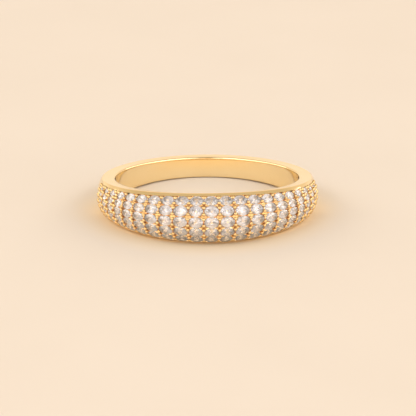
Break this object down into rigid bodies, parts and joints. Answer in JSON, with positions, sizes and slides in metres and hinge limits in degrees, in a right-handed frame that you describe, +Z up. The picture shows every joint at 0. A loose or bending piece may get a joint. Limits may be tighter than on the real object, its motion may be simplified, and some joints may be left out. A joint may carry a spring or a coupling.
{
  "type": "dome ring",
  "caption": "Polished yellow-gold finger ring whose band swells into a domed front paved with rows of small round clear stones.",
  "frame": {"origin": "under the middle of the ring's outline, on the surface that it lies on", "axes": "+Z up, through the finger hole within about four degrees; -Y towards the middle of the dome; +X to the right as the dome is seen"},
  "size_m": [0.0208, 0.0208, 0.0046],
  "materials": {
    "gold": "polished yellow gold plating",
    "clear_stone": "cut and polished clear stone"
  },
  "bodies": {
    "root": {"band": "gold", "pave_stones": "clear_stone"}
  },
  "joints": []
}
